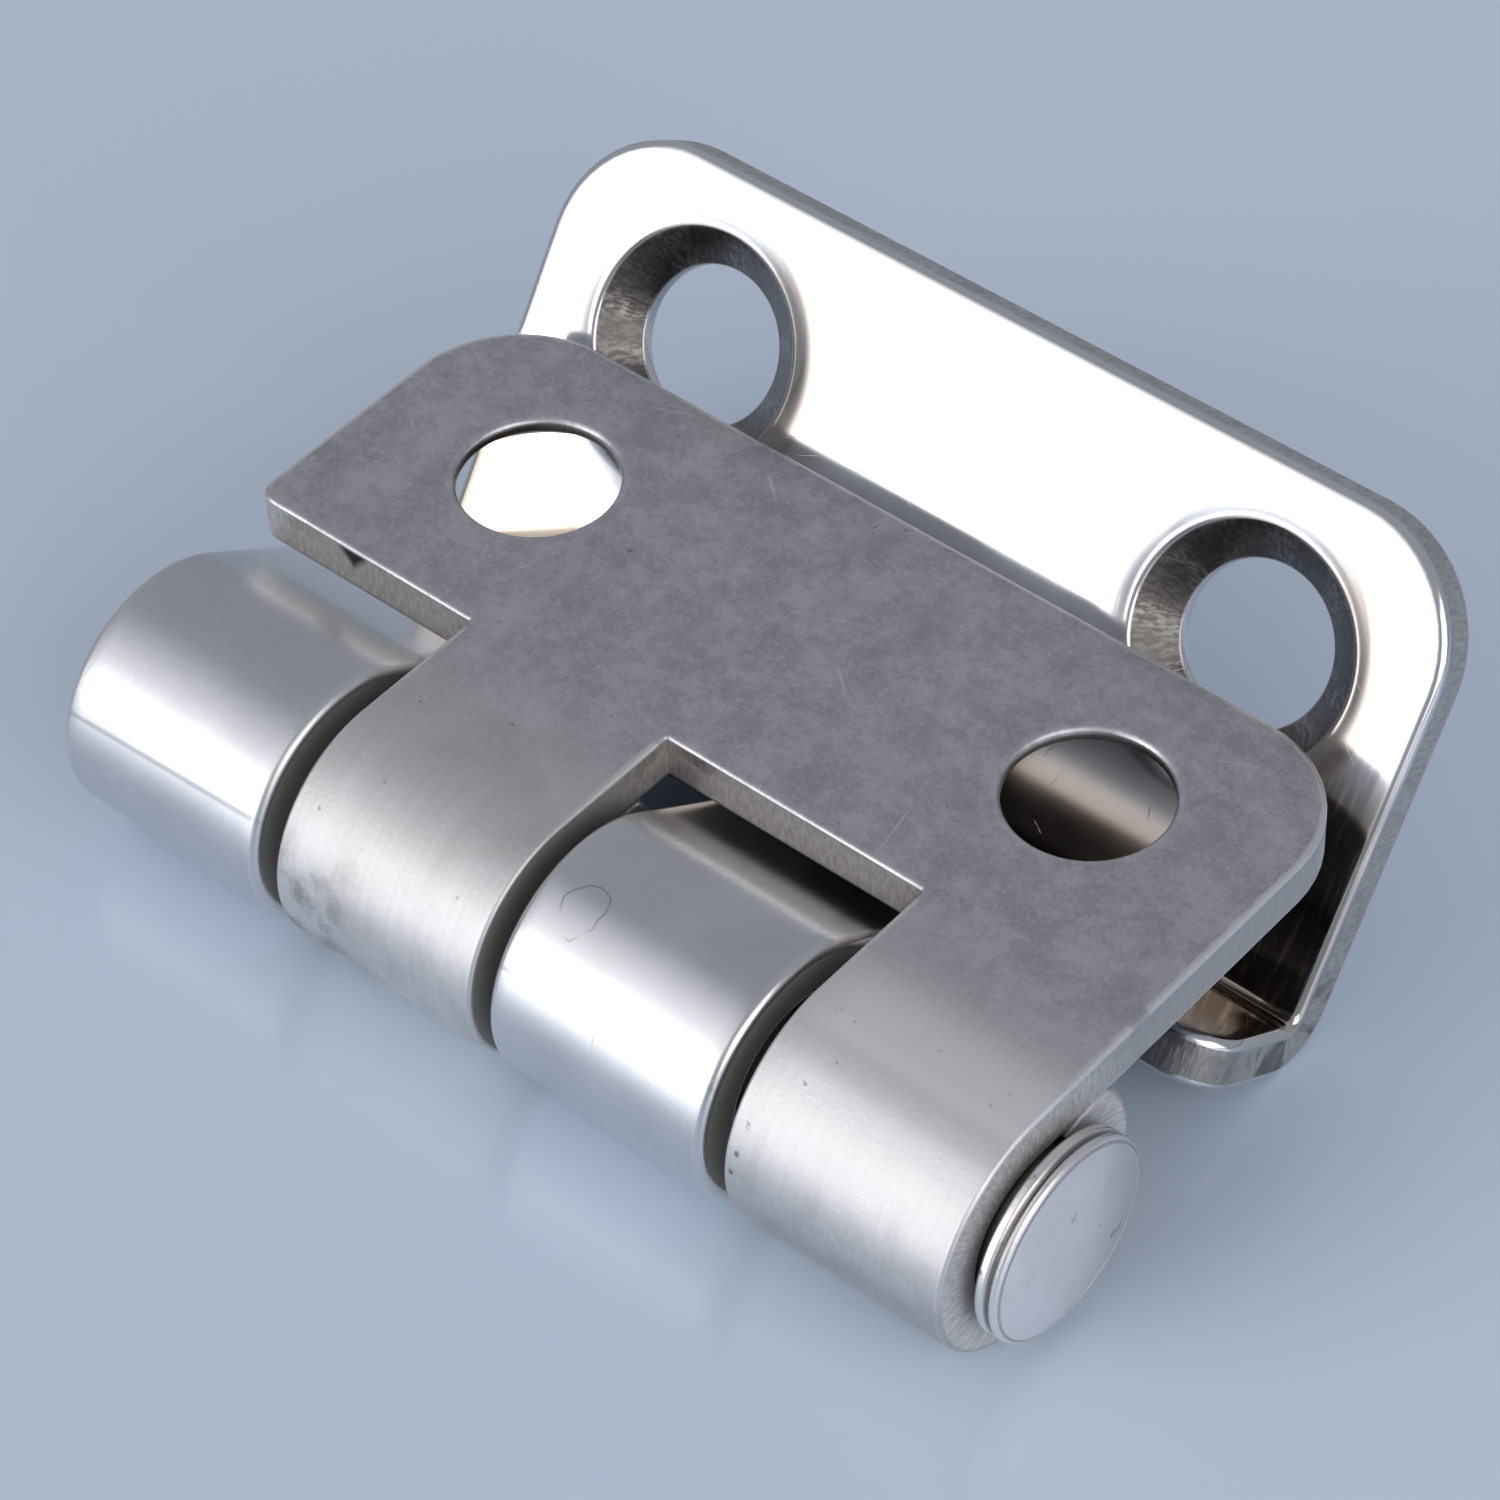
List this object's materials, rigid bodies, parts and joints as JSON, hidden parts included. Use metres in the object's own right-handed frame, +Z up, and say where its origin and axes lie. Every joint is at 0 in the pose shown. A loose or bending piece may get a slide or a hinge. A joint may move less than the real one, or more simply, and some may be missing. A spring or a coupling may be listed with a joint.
{
  "type": "cabinet hinge",
  "caption": "Bent sheet-steel cabinet hinge: a flat leaf swings on a headed pin against an angle leaf with an upright flange, both with countersunk screw holes.",
  "frame": {"origin": "on the table that the shut hinge lies on, under the middle of the hinge's box", "axes": "+X along the pin towards its head, +Y from the pin towards the flange, +Z up"},
  "size_m": [0.0422, 0.0308, 0.0167],
  "materials": {
    "polished_steel": "mirror polished, with soft edges",
    "dull_steel": "dull tumbled grey, fine scratches, worn brighter on the knuckles",
    "pin_steel": "satin polished"
  },
  "bodies": {
    "angle_leaf": {"angle_leaf": "polished_steel", "hinge_pin": "pin_steel"},
    "flat_leaf": {"flat_leaf": "dull_steel"}
  },
  "joints": [
    {"name": "leaf_swing", "type": "hinge", "parent": "angle_leaf", "child": "flat_leaf", "pos_m": [-0.00085, -0.01031, 0.00505], "axis": [1, 0, 0], "range_deg": [0, 300]}
  ]
}
